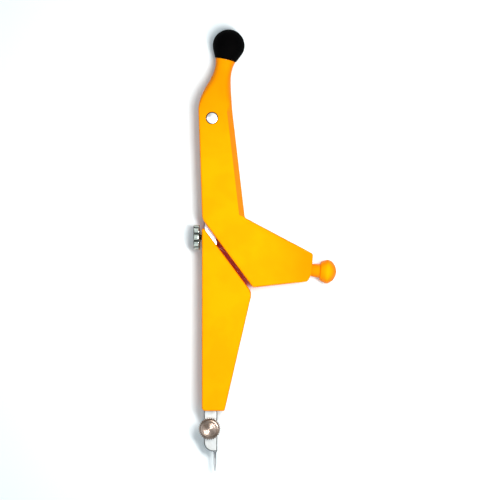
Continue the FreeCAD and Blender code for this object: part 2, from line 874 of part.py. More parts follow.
def make_press_stud():
    """Headed stud that carries the ball and turns in the neck."""
    flange = drum(stud_flange_diameter, neck_point(stud_flange_top), -NECK_AXIS, stud_flange_thickness)
    length = free_gap + stud_depth_in_ball - stud_flange_top
    shank = drum(stud_diameter, neck_point(stud_flange_top), NECK_AXIS, length)
    return flange.fuse(shank).removeSplitter()


def make_press_bush():
    """Bush in the neck for the ball's stud."""
    bore = stud_diameter + 2 * running_gap
    return ring(press_bush_diameter, bore, neck_point(0.0), -NECK_AXIS, press_bush_length)


def make_side_knob():
    """Mushroom-shaped hand knob, its short neck let into the end of the arm."""
    neck = side_neck_diameter / 2
    neck_top = side_neck_top_diameter / 2
    back = side_knob_back_diameter / 2
    widest = side_knob_diameter / 2
    widest_place = side_neck_length + side_knob_back_length
    nose = widest_place + side_knob_nose_length
    rim = widest - side_knob_rim_radius
    nose_spread = side_knob_nose_length - side_knob_rim_radius
    nose_radius = side_knob_rim_radius + (rim * rim + nose_spread * nose_spread) / (2 * nose_spread)
    nose_centre = nose - nose_radius
    turn = math.atan2(rim, widest_place - nose_centre)
    meeting = (nose_radius * math.sin(turn), nose_centre + nose_radius * math.cos(turn))
    rim_centre = (rim, widest_place)
    touch = tangent_spot((back, side_neck_length), rim_centre, side_knob_rim_radius)
    edges = [
        section_line((0.0, side_neck_foot), (neck, side_neck_foot)),
        section_line((neck, side_neck_foot), (neck_top, side_neck_length)),
        section_line((neck_top, side_neck_length), (back, side_neck_length)),
        section_line((back, side_neck_length), touch),
        section_arc(touch, rim_centre, meeting),
        section_arc(meeting, (0.0, nose_centre), (0.0, nose)),
        section_line((0.0, nose), (0.0, side_neck_foot)),
    ]
    knob = lathe(edges, SIDE_BASE, SIDE_AXIS)
    depth = side_pin_depth_in_knob + touch_gap
    return knob.cut(drum(side_pin_diameter + 2 * touch_gap, side_point(side_neck_foot), SIDE_AXIS, depth))


def make_side_pin():
    """Headed pin that carries the side knob and turns in the end of the arm."""
    head = drum(side_pin_head_diameter, side_point(side_head_outer), -SIDE_AXIS, side_pin_head_thickness)
    length = side_neck_foot + side_pin_depth_in_knob - side_head_outer
    shank = drum(side_pin_diameter, side_point(side_head_outer), SIDE_AXIS, length)
    return head.fuse(shank).removeSplitter()


def make_side_bush():
    """Bush in the end of the arm for the side knob's pin."""
    bore = side_pin_diameter + 2 * running_gap
    return ring(side_bush_diameter, bore, side_point(-side_recess_depth), -SIDE_AXIS, side_bush_length)


def make_pieces():
    """All pieces by name, still placed from the pivot screw."""
    handle_front, handle_back = make_handle()
    cover_front, cover_back = make_leg_cover()
    return {
        "handle_front": handle_front,
        "handle_back": handle_back,
        "handle_pins": make_handle_pins(),
        "pivot_screw": make_pivot_screw(),
        "pivot_sleeve_nut": make_pivot_sleeve_nut(),
        "pivot_washers": make_pivot_washers(),
        "leg_bar": make_leg_bar(),
        "leg_cover_front": cover_front,
        "leg_cover_back": cover_back,
        "leg_cover_pins": make_leg_cover_pins(),
        "adjuster_wheel": make_adjuster_wheel(),
        "adjuster_screw": make_adjuster_screw(),
        "adjuster_bush": make_adjuster_bush(),
        "adjuster_collar": make_adjuster_collar(),
        "clamp_screw": make_clamp_screw(),
        "clamp_washer": make_clamp_washer(),
        "needle": make_needle(),
        "press_knob": make_press_knob(),
        "press_stud": make_press_stud(),
        "press_bush": make_press_bush(),
        "side_knob": make_side_knob(),
        "side_pin": make_side_pin(),
        "side_bush": make_side_bush(),
    }


def origin_shift(pieces):
    """Move that brings the middle of the whole object's footprint to the origin."""
    box = joined(pieces.values()).optimalBoundingBox(False, False)
    return vector(-(box.XMin + box.XMax) / 2, -(box.YMin + box.YMax) / 2, -box.ZMin)


pieces = make_pieces()
shift = origin_shift(pieces)
os.makedirs("parts", exist_ok=True)
for name, shape in pieces.items():
    moved = shape.copy()
    moved.translate(shift)
    moved.exportStep("parts/" + name + ".step")
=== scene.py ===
"""Needle leg of a beam compass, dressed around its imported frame.

The file is laid out as an add-on: each operator makes one piece or finishes a group of like pieces,
and main runs them in order. Lengths in the code are in metres, as everywhere in the scene.
"""

import json
import math

import bpy
import numpy as np
from mathutils import Matrix, Vector

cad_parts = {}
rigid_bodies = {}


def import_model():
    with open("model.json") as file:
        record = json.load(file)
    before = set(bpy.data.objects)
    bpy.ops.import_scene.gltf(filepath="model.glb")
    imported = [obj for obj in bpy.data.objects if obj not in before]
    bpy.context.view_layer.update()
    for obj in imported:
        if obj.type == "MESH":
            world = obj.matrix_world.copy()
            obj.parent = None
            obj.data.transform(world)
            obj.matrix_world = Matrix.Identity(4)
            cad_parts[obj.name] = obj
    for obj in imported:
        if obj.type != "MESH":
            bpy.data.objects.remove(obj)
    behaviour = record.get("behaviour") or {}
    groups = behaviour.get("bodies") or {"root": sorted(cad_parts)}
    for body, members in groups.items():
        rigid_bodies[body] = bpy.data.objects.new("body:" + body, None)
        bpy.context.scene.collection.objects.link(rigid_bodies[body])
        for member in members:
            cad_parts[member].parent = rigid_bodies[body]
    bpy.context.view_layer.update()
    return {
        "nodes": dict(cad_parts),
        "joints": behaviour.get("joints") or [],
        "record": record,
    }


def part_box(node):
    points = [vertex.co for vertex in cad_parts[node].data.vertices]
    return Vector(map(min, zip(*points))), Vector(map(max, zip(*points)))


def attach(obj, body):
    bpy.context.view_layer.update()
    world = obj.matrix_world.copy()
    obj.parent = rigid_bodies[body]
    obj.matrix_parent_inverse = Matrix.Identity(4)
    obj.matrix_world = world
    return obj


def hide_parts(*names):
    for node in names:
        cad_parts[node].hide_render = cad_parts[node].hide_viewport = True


bl_info = {
    "name": "Compass leg",
    "version": (1, 0, 0),
    "blender": (4, 5, 0),
    "location": "3D View > Sidebar > Compass leg",
    "description": "Makes the knobs, screws and needle of a compass leg and finishes its mouldings",
    "category": "Object",
}

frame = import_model()
JOINTS = {joint["name"]: joint for joint in frame["joints"]}
MM = 0.001


def joint_place(name):
    """Point on a joint's axis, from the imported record."""
    return Vector(JOINTS[name]["pos_m"])


def joint_axis(name):
    """Direction of a joint's axis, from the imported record."""
    return Vector(JOINTS[name]["axis"]).normalized()


PIVOT = joint_place("leg_swing")

# Ends of the middle line of the slit between the handle and the leg cover
SLIT_TOP = PIVOT + Vector((-3.4, -34.4, 0.0)) * MM
SLIT_FOOT = PIVOT + Vector((13.9, -57.7, 0.0)) * MM
SLIT_RUN = (SLIT_FOOT - SLIT_TOP).normalized()
SLIT_ACROSS = SLIT_RUN.cross((0.0, 0.0, 1.0))


# Sizes that a user would change

def length(name, description, default, most=0.2, least=0.0):
    """Length property in metres, shown with five decimals."""
    return bpy.props.FloatProperty(
        name=name,
        description=description,
        default=default,
        min=least,
        max=most,
        precision=5,
        unit="LENGTH",
    )


def colour(name, description, default):
    """Colour property of a finish."""
    return bpy.props.FloatVectorProperty(
        name=name,
        description=description,
        default=default,
        min=0.0,
        max=1.0,
        size=3,
        subtype="COLOR",
    )


def level(name, description, default):
    """Brightness property, from zero upwards."""
    return bpy.props.FloatProperty(name=name, description=description, default=default, min=0.0)


class PressBallSizes(bpy.types.PropertyGroup):
    """Sizes of the ball that the finger presses, with heights counted from the neck's rim"""

    radius: length("Radius", "Radius of the ball", 5.475 * MM)
    middle: length("Middle", "Height of the ball's middle above the rim", 5.25 * MM)
    seat_radius: length("Seat radius", "Radius of the flat seat", 3.75 * MM)
    seat_height: length("Seat height", "Height of the seat above the rim", 0.3 * MM)
    seat_rounding: length("Seat rounding", "Rounding of the seat's edge", 0.3 * MM)
    bore_radius: length("Bore radius", "Radius of the hole for the stud", 1.22 * MM)
    bore_depth: length("Bore depth", "Depth of the hole for the stud", 5.02 * MM)


class SideKnobSizes(bpy.types.PropertyGroup):
    """Sizes of the mushroom knob, with heights counted from the end of the arm"""

    neck_radius: length("Neck radius", "Radius of the neck's foot", 2.1 * MM)
    neck_top_radius: length("Neck top radius", "Radius of the neck where it meets the knob", 2.45 * MM)
    neck_foot: length("Neck foot", "Start of the neck, inside the arm's recess", -0.3 * MM, least=-0.01)
    neck_length: length("Neck length", "Height of the knob's flat back", 3.05 * MM)
    back_radius: length("Back radius", "Radius of the flat back", 3.2 * MM)
    back_rounding: length("Back rounding", "Rounding of the back's edge", 0.35 * MM)
    radius: length("Radius", "Largest radius of the knob", 4.095 * MM)
    widest: length("Widest height", "Height at which the knob is widest", 5.5 * MM)
    rim_radius: length("Rim rounding", "Radius of the rounded rim", 1.8 * MM)
    tip: length("Tip height", "Height of the knob's end", 8.635 * MM)
    bore_radius: length("Bore radius", "Radius of the hole for the pin", 0.82 * MM)
    bore_depth: length("Bore depth", "Depth of the hole for the pin", 4.52 * MM)


class ThumbWheelSizes(bpy.types.PropertyGroup):
    """Sizes of the thumb wheel and the thread of its screw"""

    groove_depth: length("Groove depth", "Depth of the grooves in the rim", 0.6 * MM)
    bevel: length("Bevel", "Bevel of both edges of the rim", 0.18 * MM)
    dish_radius: length("Dish radius", "Radius of the hollow in the outer face", 2.6 * MM)
    dish_depth: length("Dish depth", "Depth of the hollow in the outer face", 0.3 * MM)
    bore_radius: length("Bore radius", "Radius of the hole for the screw", 1.02 * MM)
    pitch: length("Pitch", "Advance of the screw's thread in one turn", 0.4 * MM)
    thread_depth: length("Thread depth", "Depth of the screw's thread", 0.2 * MM)
    journal_radius: length("Journal radius", "Radius of the screw's thin end", 0.7 * MM)
    journal_length: length("Journal length", "Length of the screw's thin end", 4.4 * MM)
    lobes: bpy.props.IntProperty(
        name="Lobes", description="Number of lobes round the rim", default=10, min=6, max=80
    )


class ClampScrewSizes(bpy.types.PropertyGroup):
    """Sizes of the knurled clamp screw"""

    tooth_depth: length("Tooth depth", "Depth of the knurl", 0.4 * MM)
    bevel: length("Bevel", "Width of the bevels of the head", 0.8 * MM)
    bevel_height: length("Bevel height", "Height of the bevels of the head", 0.45 * MM)
    head_height: length("Head height", "Height of the head", 2.3 * MM)
    shank_radius: length("Shank radius", "Radius of the shank", 0.9 * MM)
    dish_radius: length("Dish radius", "Radius of the hollow in the face", 2.5 * MM)
    dish_depth: length("Dish depth", "Depth of the hollow in the face", 0.25 * MM)
    ring_pitch: length("Ring pitch", "Distance between turning rings", 0.15 * MM)
    ring_relief: length("Ring relief", "Height of the turning rings", 0.012 * MM)
    teeth: bpy.props.IntProperty(
        name="Teeth", description="Number of teeth round the head", default=32, min=6, max=120
    )


class NeedleSizes(bpy.types.PropertyGroup):
    """Sizes of the needle"""

    radius: length("Radius", "Radius of the free end", 0.46 * MM)
    shank_length: length("Shank length", "Length of the thick shank", 15.75 * MM)
    taper: length("Taper", "Length of the tapered point", 2.7 * MM)
    tip_radius: length("Tip radius", "Radius of the point", 0.11 * MM)


class FinishColours(bpy.types.PropertyGroup):
    """Colours of the finishes"""

    amber: colour("Amber", "Moulded plastic of the handle, cover and knob", (0.93, 0.345, 0.001))
    deep_amber: colour("Deep amber", "The same plastic where it looks deeper", (0.90, 0.31, 0.001))
    # Painted shade: the darker tone on sides and bevels, and towards the neck and the arm's end
    edge_amber: colour("Edge amber", "The same plastic on its bevels and sides", (0.74, 0.20, 0.0005))
    # Painted shade: deep red on the walls of the slit, standing in for the shade deep inside it
    slit_amber: colour("Slit amber", "The same plastic on the sides of the slit", (0.95, 0.035, 0.0005))
    black: colour("Black", "Plastic of the press ball", (0.0004, 0.0004, 0.0005))
    steel: colour("Steel", "Ground steel of the leg bar", (0.84, 0.83, 0.80))
    nickel: colour("Nickel", "Plating of the wheel and its screw", (0.58, 0.62, 0.55))
    bronze: colour("Bronze", "Plating of the clamp screw", (0.46, 0.35, 0.29))
    brass: colour("Brass", "Turned bushes and collars", (0.72, 0.50, 0.20))
    floor: colour("Floor", "Surface that the leg lies on", (0.87, 0.92, 0.93))


class StageSettings(bpy.types.PropertyGroup):
    """Camera, lights and floor"""

    camera_height: length("Camera height", "Camera above the leg's middle plane", 515.5 * MM, 2.0)
    right: length("View right", "Middle of the view, right of the pivot screw", 12.92 * MM)
    below: length("View below", "Middle of the view, below the pivot screw", 44.88 * MM)
    lens: bpy.props.FloatProperty(
        name="Lens", description="Focal length in millimetres", default=108.0, min=10.0, max=300.0
    )
    key_right: length("Key right", "Lamp's distance right of the view's middle", 46 * MM, 2.0)
    key_up: length("Key up", "Lamp's distance up the leg from the view's middle", 2 * MM, 2.0, -2.0)
    key_height: length("Key height", "Lamp's height above the leg's middle plane", 190 * MM, 2.0)
    key_length: length("Key length", "Length of the lamp, along the slit", 120 * MM, 2.0)
    key_width: length("Key width", "Width of the lamp", 40 * MM, 2.0)
    key_power: bpy.props.FloatProperty(
        name="Key power", description="Power of the oval lamp over the leg", default=0.46, unit="POWER"
    )
    fill: level("Fill", "Brightness of the soft boxes overhead", 1.0)
    walls: level("Walls", "Brightness of the walls, as a share of the boxes'", 0.25)
    ends: level("Ends", "Brightness of the low panels at both ends, as a share of the boxes'", 1.0)


# Shader arithmetic

class Sock:
    """Output of a shader node that takes part in Python arithmetic."""

    def __init__(self, finish, socket):
        self.finish = finish
        self.socket = socket

    def math(self, operation, *values):
        """Math node on this output and others."""
        return self.finish.add("ShaderNodeMath", {"operation": operation}, dict(enumerate(values)))

    def __add__(self, other):
        return self.math("ADD", self, other)

    def __radd__(self, other):
        return self.math("ADD", other, self)

    def __sub__(self, other):
        return self.math("SUBTRACT", self, other)

    def __rsub__(self, other):
        return self.math("SUBTRACT", other, self)

    def __mul__(self, other):
        return self.math("MULTIPLY", self, other)

    def __rmul__(self, other):
        return self.math("MULTIPLY", other, self)

    def __abs__(self):
        return self.math("ABSOLUTE", self)


class Finish:
    """Material or room under construction, with the one method that adds a node to it."""

    def __init__(self, owner):
        self.owner = owner
        owner.use_nodes = True
        self.tree = owner.node_tree
        self.tree.nodes.clear()

    def add(self, kind, settings=None, values=None, output=0):
        """Adds a node: its settings first, then each socket's value or link. Returns one of its outputs."""
        node = self.tree.nodes.new(kind)
        for name, setting in (settings or {}).items():
            setattr(node, name, setting)
        for key, value in (values or {}).items():
            if isinstance(value, Sock):
                self.tree.links.new(value.socket, node.inputs[key])
            else:
                node.inputs[key].default_value = value
        return None if output is None else Sock(self, node.outputs[output])

    def part(self, vector, axis):
        """One part of a vector: X, Y or Z."""
        return self.add("ShaderNodeSeparateXYZ", {}, {0: vector}, axis)

    def vector(self, operation, first, second):
        """Vector Math node that gives a vector."""
        return self.add("ShaderNodeVectorMath", {"operation": operation}, {0: first, 1: second})

    def dot(self, first, second):
        """Dot product of two vectors, a number."""
        sockets = {0: first, 1: second}
        return self.add("ShaderNodeVectorMath", {"operation": "DOT_PRODUCT"}, sockets, "Value")

    def place(self, stretch=None):
        """Object coordinates, multiplied along each axis where a stretch is given."""
        spot = self.add("ShaderNodeTexCoord", output="Object")
        return spot if stretch is None else self.vector("MULTIPLY", spot, stretch)

    def normal(self):
        """The surface's own normal, in object coordinates."""
        return self.add("ShaderNodeTexCoord", output="Normal")

    def distance(self, point, across):
        """Distance from an axis through a point. Across holds 0 for the axis's own direction and 1
        for the two others."""
        away = self.vector("SUBTRACT", self.place(), tuple(point))
        flat = self.vector("MULTIPLY", away, across)
        return self.add("ShaderNodeVectorMath", {"operation": "LENGTH"}, {0: flat}, "Value")

    def noise(self, spot, scale, detail=2.0, roughness=0.5):
        """Cloudy noise between 0 and 1; scale is in bumps per metre."""
        values = {"Vector": spot, "Scale": scale, "Detail": detail, "Roughness": roughness}
        return self.add("ShaderNodeTexNoise", {}, values)

    def smooth(self, value, low, high, bottom=0.0, top=1.0):
        """Smooth step of a value from bottom to top between low and high."""
        values = {"Value": value, "From Min": low, "From Max": high, "To Min": bottom, "To Max": top}
        return self.add("ShaderNodeMapRange", {"interpolation_type": "SMOOTHSTEP"}, values, "Result")

    def fade(self, value, low, high):
        """Smooth step that falls from 1 to 0 between low and high."""
        return self.smooth(value, low, high, 1.0, 0.0)

    def mix(self, share, first, second):
        """Colour part of the way from the first to the second."""
        return self.add("ShaderNodeMix", {"data_type": "RGBA"}, {0: share, 6: first, 7: second}, 2)

    def bump(self, height, depth, normal=None):
        """Normal of a relief whose height of 1 stands for a depth in metres."""
        values = {"Height": height, "Distance": depth, "Strength": 1.0}
        if normal is not None:
            values["Normal"] = normal
        return self.add("ShaderNodeBump", {}, values)

    def shader(self, values):
        """Closes the material with a Principled shader."""
        surface = self.add("ShaderNodeBsdfPrincipled", {}, values)
        self.add("ShaderNodeOutputMaterial", {}, {"Surface": surface}, None)
        return self.owner

    def metal(self, tone, rough, relief, bare=1.0):
        """Closes the material as a metal, fully bare or less so."""
        return self.shader({"Base Color": tone, "Metallic": bare, "Roughness": rough, "Normal": relief})


def solid(rgb):
    """Colour with full opacity."""
    return (*rgb, 1.0)


def new_finish(name):
    """Empty material of a name, ready for its nodes."""
    return Finish(bpy.data.materials.new(name))


# Further tones of the finishes, beside the colours that a user would change

NO_GLOW = (0.0, 0.0, 0.0, 1.0)
# Painted glow on the walls of the slit, which give no light of their own
SLIT_PAINTED_GLOW = (0.22, 0.003, 0.0, 1.0)
AMBER_GLOSS = (1.0, 0.60, 0.02, 1.0)
# Painted shade in the recess round the pivot screw's head
RECESS_PAINTED_SHADE = (0.045, 0.018, 0.002, 1.0)
WORN_BLACK = (0.0018, 0.0015, 0.0015, 1.0)
STEEL_STAIN = (0.50, 0.47, 0.42, 1.0)
# Painted shade on the bar's edges and bevels
STEEL_PAINTED_EDGE_SHADE = (0.045, 0.055, 0.065, 1.0)
NEEDLE_BRIGHT = (0.78, 0.79, 0.80, 1.0)
NEEDLE_HAZE = (0.62, 0.63, 0.64, 1.0)
# Painted shade along the needle's sides
NEEDLE_PAINTED_SIDE_SHADE = (0.03, 0.035, 0.04, 1.0)
SCREW_BRIGHT = (0.90, 0.87, 0.85, 1.0)
SCREW_HAZE = (0.74, 0.80, 0.73, 1.0)
NICKEL_HAZE = (0.48, 0.53, 0.46, 1.0)
# Painted shade in the wheel's grooves, on its bevels and on its screw
NICKEL_PAINTED_SHADE = (0.10, 0.105, 0.095, 1.0)
BRONZE_CLOUD = (0.27, 0.185, 0.135, 1.0)
# Painted shade above and below the clamp screw's axis
BRONZE_PAINTED_SHADE = (0.115, 0.085, 0.062, 1.0)
BRASS_TARNISH = (0.42, 0.28, 0.12, 1.0)

# Where a tone starts to change and where the change is done

# Ramps of painted shade on the neck and at the end of the arm, which stops short of the knob
NECK_SHADE_RAMP = (PIVOT.y - 14 * MM, PIVOT.y + 13 * MM)
ARM_SHADE_RAMP = (PIVOT.x + 14 * MM, PIVOT.x + 34 * MM)
ARM_SHADE_STOPS = (PIVOT.x + 37.0 * MM, PIVOT.x + 39.5 * MM)
SLIT_HALF = (0.9 * MM, 1.2 * MM)
RECESS_RADIUS = (2.08 * MM, 2.16 * MM)
GROOVE_RADIUS = (3.95 * MM, 4.25 * MM)
CLAMP_SHADE_BAND = (0.8 * MM, 2.8 * MM)


# Masks

def facing_up(finish):
    """How squarely the surface faces the front or the back: the size of its own normal's z part."""
    return abs(finish.part(finish.normal(), "Z"))


def slit_sides(finish):
    """1 on the two walls of the slit, which face each other across its middle line, and 0 elsewhere."""
    across = tuple(SLIT_ACROSS)
    walls = finish.smooth(abs(finish.dot(finish.normal(), across)), 0.93, 0.98)
    away = finish.dot(finish.vector("SUBTRACT", finish.place(), tuple(SLIT_TOP)), across)
    return walls * finish.fade(abs(away), *SLIT_HALF)


def wheel_grooves(finish):
    """Painted shade: 1 near the axis, in the grooves and on the screw, and on the bevels of the wheel's
    rim; 0 on its lobes and flat faces.
    """
    distance = finish.distance(joint_place("adjuster_spin"), (0.0, 1.0, 1.0))
    endways = abs(finish.part(finish.normal(), "X"))
    grooves = finish.fade(distance, *GROOVE_RADIUS) * finish.fade(endways, 0.3, 0.7)
    bevels = finish.smooth(endways, 0.25, 0.5) * finish.fade(endways, 0.8, 0.95)
    return grooves + bevels


def handled_neck(finish):
    """Painted shade that rises from 0 below the pivot screw to 1 under the ball, darkening the neck."""
    return finish.smooth(finish.part(finish.place(), "Y"), *NECK_SHADE_RAMP)


def handled_arm(finish):
    """Painted shade that rises from 0 at the middle of the arm to 1 at its end, and falls off again on the
    knob.
    """
    right = finish.part(finish.place(), "X")
    return finish.smooth(right, *ARM_SHADE_RAMP) * finish.fade(right, *ARM_SHADE_STOPS)


def pivot_recess(finish):
    """Painted shade: 1 inside the recess round the pivot screw's head, and 0 outside it."""
    return finish.fade(finish.distance(PIVOT, (1.0, 1.0, 0.0)), *RECESS_RADIUS)


# Finishes

def moulded_amber(colours):
    """Satin moulded plastic: cloudy depth of colour, fine grain, faint handling marks. Painted shade
    darkens its sides and bevels, the neck, the end of the arm and the recess round the pivot screw,
    and turns the walls of the slit deep red, where a painted glow lies as well."""
    finish = new_finish("moulded_amber")
    cloud = finish.noise(finish.place(), 95.0, 3.0)
    grain = finish.noise(finish.place(), 5200.0)
    orange_peel = finish.noise(finish.place(), 700.0, 1.0)
    scuffs = finish.noise(finish.place((3100.0, 170.0, 900.0)), 1.0, 3.0, 0.6)
    scuff_places = finish.noise(finish.place(), 140.0, 1.0)
    marks = finish.smooth(scuffs, 0.60, 0.72) * finish.smooth(scuff_places, 0.48, 0.66)
    # Painted shade, darker towards the neck and at the end of the arm
    deeper = 0.5 * handled_neck(finish) + 0.7 * handled_arm(finish)
    slit = slit_sides(finish)
    edge = solid(colours.edge_amber)
    tone = finish.mix(finish.smooth(cloud, 0.35, 0.68), solid(colours.deep_amber), solid(colours.amber))
    tone = finish.mix(deeper, tone, edge)
    # Painted shade on the sides and bevels, which turn away from the front
    tone = finish.mix(finish.smooth(facing_up(finish), 0.50, 0.96), edge, tone)
    # Painted shade: the walls of the slit turn deep red
    tone = finish.mix(slit, tone, solid(colours.slit_amber))
    # Painted shade in the recess round the pivot screw
    tone = finish.mix(pivot_recess(finish), tone, RECESS_PAINTED_SHADE)
    rough = 0.40 + 0.10 * (cloud - 0.5) + 0.06 * (grain - 0.5) + 0.10 * marks
    soft_edges = finish.add("ShaderNodeBevel", {"samples": 6}, {"Radius": 0.35 * MM})
    peel = finish.bump(orange_peel, 0.006 * MM, soft_edges)
    return finish.shader(
        {
            "Base Color": tone,
            "Roughness": rough,
            "Normal": finish.bump(grain + 0.5 * marks, 0.0022 * MM, peel),
            "IOR": 1.48,
            "Specular IOR Level": 0.05,
            "Specular Tint": AMBER_GLOSS,
            # Painted glow on the walls of the slit
            "Emission Color": finish.mix(slit, NO_GLOW, SLIT_PAINTED_GLOW),
            "Emission Strength": 1.0,
        }
    )


def matt_black(colours):
    """Matt black plastic with a fine eroded grain."""
    finish = new_finish("matt_black")
    grain = finish.noise(finish.place(), 4200.0, 3.0, 0.6)
    cloud = finish.noise(finish.place(), 260.0)
    return finish.shader(
        {
            "Base Color": finish.mix(cloud, solid(colours.black), WORN_BLACK),
            "Roughness": 0.74 + 0.12 * (cloud - 0.5) + 0.08 * (grain - 0.5),
            "Normal": finish.bump(grain, 0.004 * MM),
            "IOR": 1.40,
            "Specular IOR Level": 0.02,
        }
    )


def ground_steel(colours):
    """Steel ground along the bar: long fine lines, slight stains, and painted shade on its edges and
    bevels.
    """
    finish = new_finish("ground_steel")
    lines = finish.noise(finish.place((9000.0, 90.0, 9000.0)), 1.0, 3.0, 0.65)
    wide_lines = finish.noise(finish.place((1700.0, 30.0, 1700.0)), 1.0)
    stain = finish.noise(finish.place(), 210.0, 4.0, 0.6)
    soft_edges = finish.add("ShaderNodeBevel", {"samples": 8}, {"Radius": 0.7 * MM})
    flatness = finish.dot(finish.add("ShaderNodeNewGeometry", output="Normal"), soft_edges)
    edges = finish.fade(flatness, 0.92, 0.985)
    facing = facing_up(finish)
    bevels = finish.smooth(facing, 0.10, 0.40) * finish.fade(facing, 0.85, 0.97)
    tone = finish.mix(finish.smooth(stain, 0.52, 0.72, 0.0, 0.55), solid(colours.steel), STEEL_STAIN)
    # Painted shade on edges and bevels
    tone = finish.mix(edges + bevels, tone, STEEL_PAINTED_EDGE_SHADE)
    ground = 0.16 * (lines - 0.5) + 0.10 * (wide_lines - 0.5)
    rough = 0.30 + ground + 0.12 * finish.smooth(stain, 0.5, 0.75)
    return finish.metal(tone, rough, finish.bump(lines + 0.6 * wide_lines, 0.004 * MM, soft_edges))


def polished_steel(colours):
    """Drawn steel of the needle with faint lines, and painted shade along its sides that leaves it bright
    along its middle.
    """
    finish = new_finish("polished_steel")
    lines = finish.noise(finish.place((7000.0, 60.0, 7000.0)), 1.0)
    haze = finish.noise(finish.place(), 700.0, 3.0)
    facing = facing_up(finish)
    tone = finish.mix(finish.smooth(haze, 0.5, 0.75), NEEDLE_BRIGHT, NEEDLE_HAZE)
    # Painted shade along the sides
    tone = finish.mix(finish.smooth(facing, 0.74, 0.93), NEEDLE_PAINTED_SIDE_SHADE, tone)
    rough = 0.14 + 0.08 * (lines - 0.5) + 0.06 * (haze - 0.5)
    bare = finish.smooth(facing, 0.80, 0.96, 1.0, 0.25)
    return finish.metal(tone, rough, finish.bump(lines, 0.001 * MM), bare)


def satin_nickel(colours):
    """Nickel plating rubbed to a satin face, on the pivot screw."""
    finish = new_finish("satin_nickel")
    haze = finish.noise(finish.place(), 1100.0, 3.0, 0.6)
    rubbing = finish.noise(finish.place((900.0, 7000.0, 900.0)), 1.0)
    tone = finish.mix(finish.smooth(haze, 0.45, 0.75), SCREW_BRIGHT, SCREW_HAZE)
    rough = 0.34 + 0.14 * (haze - 0.5) + 0.08 * (rubbing - 0.5)
    return finish.metal(tone, rough, finish.bump(rubbing, 0.0015 * MM))


def bright_nickel(colours):
    """Polished nickel plating with a little haze, and painted shade in the wheel's grooves, on its bevels
    and on its screw.
    """
    finish = new_finish("bright_nickel")
    haze = finish.noise(finish.place(), 900.0, 4.0, 0.6)
    fine = finish.noise(finish.place((6000.0, 1500.0, 6000.0)), 1.0)
    tone = finish.mix(finish.smooth(haze, 0.45, 0.75), solid(colours.nickel), NICKEL_HAZE)
    # Painted shade in the grooves, on the bevels and on the screw
    tone = finish.mix(wheel_grooves(finish), tone, NICKEL_PAINTED_SHADE)
    rough = 0.16 + 0.14 * (haze - 0.4) + 0.05 * (fine - 0.5)
    return finish.metal(tone, rough, finish.bump(fine, 0.0012 * MM))


def copper_bronze(colours):
    """Copper-toned plating, with painted shade that darkens it above and below its axis, along the leg."""
    finish = new_finish("copper_bronze")
    cloud = finish.noise(finish.place(), 480.0, 3.0, 0.6)
    fine = finish.noise(finish.place(), 6500.0)
    up = finish.part(finish.place(), "Y") - joint_place("clamp_spin").y
    tone = finish.mix(finish.smooth(cloud, 0.40, 0.68), solid(colours.bronze), BRONZE_CLOUD)
    # Painted shade above and below the axis
    tone = finish.mix(finish.smooth(abs(up), *CLAMP_SHADE_BAND, 0.0, 0.65), tone, BRONZE_PAINTED_SHADE)
    rough = 0.25 + 0.18 * (cloud - 0.45) + 0.06 * (fine - 0.5)
    return finish.metal(tone, rough, finish.bump(fine, 0.0015 * MM))


def turned_brass(colours):
    """Brass as it comes from the lathe, a little tarnished."""
    finish = new_finish("turned_brass")
    grain = finish.noise(finish.place(), 5200.0)
    tarnish = finish.noise(finish.place(), 600.0, 3.0, 0.6)
    tone = finish.mix(finish.smooth(tarnish, 0.45, 0.75), solid(colours.brass), BRASS_TARNISH)
    return finish.metal(tone, 0.30 + 0.16 * (tarnish - 0.45), finish.bump(grain, 0.0025 * MM))


def paper_floor(colours):
    """Pale matt surface under the leg."""
    finish = new_finish("pale_floor")
    fibre = finish.noise(finish.place(), 900.0, 3.0)
    return finish.shader(
        {
            "Base Color": finish.mix(fibre, solid(colours.floor), solid(0.985 * Vector(colours.floor))),
            "Roughness": 0.85,
            "Normal": finish.bump(fibre, 0.01 * MM),
            "Specular IOR Level": 0.2,
        }
    )


# Each of the record's slots, and two finishes that single pieces ask for by name
FINISHES = {
    "yellow_plastic": moulded_amber,
    "black_plastic": matt_black,
    "steel": ground_steel,
    "needle steel": polished_steel,
    "nickel": bright_nickel,
    "satin nickel": satin_nickel,
    "bronze": copper_bronze,
    "brass": turned_brass,
}


def finish_for(scene, name):
    """Material of one of the record's slots, or another by its name, made when first asked for."""
    maker = FINISHES[name]
    found = bpy.data.materials.get(maker.__name__)
    return found or maker(scene.compass_colours)


# Surfaces

def unit(row):
    """Row vector scaled to a length of one."""
    return row / np.linalg.norm(row)


def arc(centre, radius, start, end, steps):
    """Circle's arc in a section: centre plus radius times (cos, sin) of evenly spaced angles."""
    angle = np.linspace(start, end, steps + 1)
    return np.stack([centre[0] + radius * np.cos(angle), centre[1] + radius * np.sin(angle)], axis=1)


def rounded_corner(before, corner, after, rounding, steps=5):
    """Arc tangent to both sides of a corner: unit spokes from its centre are turned evenly
    from the first touching point to the second. A close point on each side holds it in."""
    to_before = unit(before - corner)
    to_after = unit(after - corner)
    half = math.acos(np.clip(to_before @ to_after, -1.0, 1.0)) / 2
    reach = rounding / math.tan(half)
    centre = corner + unit(to_before + to_after) * rounding / math.sin(half)
    first = (corner + to_before * reach - centre) / rounding
    last = (corner + to_after * reach - centre) / rounding
    turn = math.pi - 2 * half
    share = np.linspace(0.0, 1.0, steps + 1)[:, None]
    spokes = (np.sin((1 - share) * turn) * first + np.sin(share * turn) * last) / math.sin(turn)
    hold = rounding / 4
    ends = [corner + to_before * (reach + hold), corner + to_after * (reach + hold)]
    return np.concatenate([ends[:1], centre + spokes * rounding, ends[1:]])


